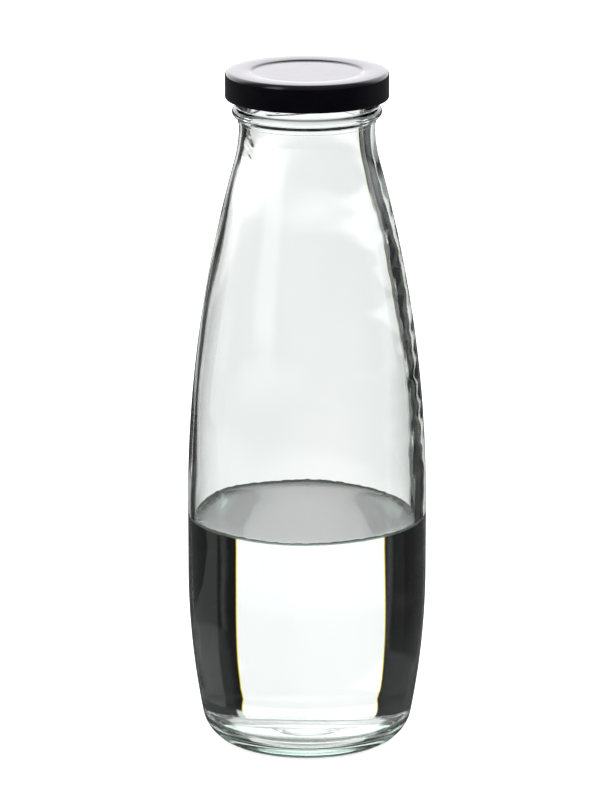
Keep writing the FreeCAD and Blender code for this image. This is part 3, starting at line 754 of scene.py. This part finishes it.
def make_world():
    """A studio by direction: what is seen through the glass, and what surfaces mirror.

    Seen through the glass there is a bright panel behind with a dark flag on each side of it,
    and white everywhere else. Surfaces mirror a bank of light behind and above, and little else.
    These are two sets of lights, told apart by what a ray has met, so no real room matches them.
    """
    world = bpy.data.worlds.new("studio")
    bpy.context.scene.world = world
    world.use_nodes = True
    tree = world.node_tree
    w = WorldNodes(tree)
    place = tree.nodes.new("ShaderNodeTexCoord")
    split = tree.nodes.new("ShaderNodeSeparateXYZ")
    tree.links.new(place.outputs["Generated"], split.inputs["Vector"])
    x, y, z = split.outputs
    degrees = 180 / math.pi
    side = w.math("MULTIPLY", w.math("ARCTAN2", x, y), degrees)
    across = w.math("ABSOLUTE", side)
    up = w.math("MULTIPLY", w.math("ARCSINE", z), degrees)
    rays = tree.nodes.new("ShaderNodeLightPath")
    inside = w.math("MINIMUM", rays.outputs["Transmission Depth"], 1)

    # The flags: nearly black beside the panel, greyer further out and towards the level.
    rise = w.step(up, -15, -7)
    right = w.mix(w.step(side, 27.5, 29.5), 0.004, w.mix(rise, 0.045, 0.09))
    right_end = w.math("ADD", 42, w.math("MULTIPLY", w.math("ADD", up, 15), 4.3))
    right = w.mix(w.step(w.math("SUBTRACT", side, right_end), -1, 1), right, 0.004)
    left = w.mix(w.step(side, -32, -34), w.mix(rise, 0.014, 0.018), w.mix(rise, 0.004, 0.02))
    flags = w.mix(w.step(side, -1, 1), left, right)
    far = w.step(across, FLAG_END - 4, FLAG_END + 4)
    flags = w.mix(far, flags, 1.0)

    # Near the level there is a panel each way along the axes, with a flag between two of them.
    quarter = w.math("ABSOLUTE", w.math("SUBTRACT", w.math("MODULO", w.math("ADD", side, 405), 90), 45))
    flags = w.mix(w.step(up, -9.5, -7.5), flags, w.mix(w.step(quarter, 23, 21.5), 0.02, 1.05))
    low = w.step(up, -19.3, -20.6)
    steep = w.step(up, -27, -45)
    ground = w.mix(steep, 1.0, 0.3)

    # Inside the glass, what has bounced sees the flags' feet on the ground and their tops overhead,
    # and loses a little light at each further bounce.
    bounces = rays.outputs["Glossy Depth"]
    reflected = w.math("MINIMUM", bounces, 1)
    bounced = w.math("MULTIPLY", inside, reflected)
    feet = w.math("MULTIPLY", w.math("MULTIPLY", w.step(across, 24, 32), bounced), 0.65)
    ground = w.math("MULTIPLY", ground, w.math("SUBTRACT", 1, feet))
    tops = w.math("MULTIPLY", w.step(across, 22, 26), w.step(across, 46, 42))
    tops = w.math("MULTIPLY", w.math("MULTIPLY", tops, bounced), 0.75)
    worn = w.math("MULTIPLY", w.math("MULTIPLY", w.step(bounces, 1, 3), inside), 0.55)

    # Mirrored: the bank behind fades overhead, and the floor is dim but for the part behind.
    behind = w.math("SUBTRACT", 1, w.step(across, 45, 90))
    slope = w.mix(w.step(side, 12, -12), 0.92, 1.08)
    bank = w.math("MULTIPLY", BANK_LIGHT, slope)
    bank = w.math("MULTIPLY", bank, behind)
    strip = w.math("SUBTRACT", 1, w.step(w.math("ABSOLUTE", w.math("ADD", side, 132)), 6, 18))
    strip = w.math("MULTIPLY", strip, w.step(up, -12, -2))
    front = w.mix(inside, w.math("ADD", 0.22, w.math("MULTIPLY", strip, 1.7)), 0.05)
    sky = w.math("ADD", bank, w.math("MULTIPLY", w.math("SUBTRACT", 1, behind), front))
    sky = w.mix(w.step(up, 34, 60), sky, OVERHEAD_LIGHT)
    sky = w.math("MULTIPLY", sky, w.math("SUBTRACT", 1, tops))
    floor_side = w.mix(w.step(across, 60, 130), 0.10, 0.025)
    above = w.step(up, -2, 3)
    mirrored = w.mix(above, floor_side, sky)
    beyond = w.math("MULTIPLY", inside, w.math("SUBTRACT", 1, above))
    beyond = w.math("MULTIPLY", beyond, w.step(across, 95, 80))

    # Light that has crossed the liquid too is given back what its extra surfaces took.
    wet = w.mix(w.step(rays.outputs["Transmission Depth"], 4.5, 5.5), 1.0, LIQUID_GAIN)
    lift = w.math("ADD", w.math("MULTIPLY", w.step(up, -12.7, -11.3), 0.26),
                  w.math("MULTIPLY", w.step(up, -14.8, -16.4), 0.07))
    panel_light = w.math("MULTIPLY", w.math("MULTIPLY", w.math("ADD", 1, lift), PANEL_LIGHT), wet)
    channels = []
    for fringe, tint in FRINGES:
        edge_right, edge_left = PANEL_RIGHT - fringe, PANEL_LEFT - fringe
        panel = w.math("MULTIPLY", w.step(side, edge_right + PANEL_SOFT, edge_right - PANEL_SOFT),
                       w.step(side, -edge_left - PANEL_SOFT, -edge_left + PANEL_SOFT))
        through = w.mix(panel, flags, panel_light)
        through = w.mix(low, through, ground)
        tinted = w.math("MULTIPLY", mirrored, w.mix(inside, tint, 1.0))
        value = w.mix(reflected, through, w.mix(beyond, tinted, through))
        value = w.math("MULTIPLY", value, w.math("SUBTRACT", 1, worn))
        value = w.mix(rays.outputs["Is Diffuse Ray"], value, 0.9)
        channels.append(w.mix(rays.outputs["Is Camera Ray"], value, 1.0))
    colour = tree.nodes.new("ShaderNodeCombineXYZ")
    for socket, channel in zip(colour.inputs, channels):
        tree.links.new(channel, socket)
    tree.links.new(colour.outputs["Vector"], tree.nodes["Background"].inputs["Color"])


def make_camera():
    camera = bpy.data.cameras.new("camera")
    piece = bpy.data.objects.new("camera", camera)
    bpy.context.scene.collection.objects.link(piece)
    piece.location = (0, -1.4112, 0.4826)
    piece.rotation_euler = (math.radians(90 - 14.96), 0, 0)
    camera.lens = 218.475
    camera.sensor_width = 36.0
    camera.shift_x = -0.0013
    bpy.context.scene.camera = piece


# ---------------------------------------------------------------- assembly

def place(piece, body, slot, materials, *nodes):
    for material in materials:
        piece.data.materials.append(material)
    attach(piece, body)
    if nodes:
        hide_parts(*nodes)


def main():
    lacquer = lacquer_material()
    underside = underside_material()
    glass = glass_material()
    place(make_glass(), "bottle", "clear_glass", [glass], "glass_bottle")
    place(make_stipple(), "bottle", "clear_glass", [glass])
    place(make_water(), "bottle", "clear_liquid", [water_material(), meniscus_painted_reflection_material()], "water")
    place(make_lid(), "lid", "black_lacquer", [lacquer, underside], "lid_shell")
    place(make_lugs(), "lid", "black_lacquer", [underside])
    place(make_seal(), "lid_ring", "seal_compound", [compound_material()], "lid_seal")
    make_floor()
    make_world()
    make_camera()
    scene = bpy.context.scene
    scene.view_settings.view_transform = "Standard"
    scene.cycles.max_bounces = 32
    scene.cycles.transmission_bounces = 32
    scene.cycles.glossy_bounces = 12


main()
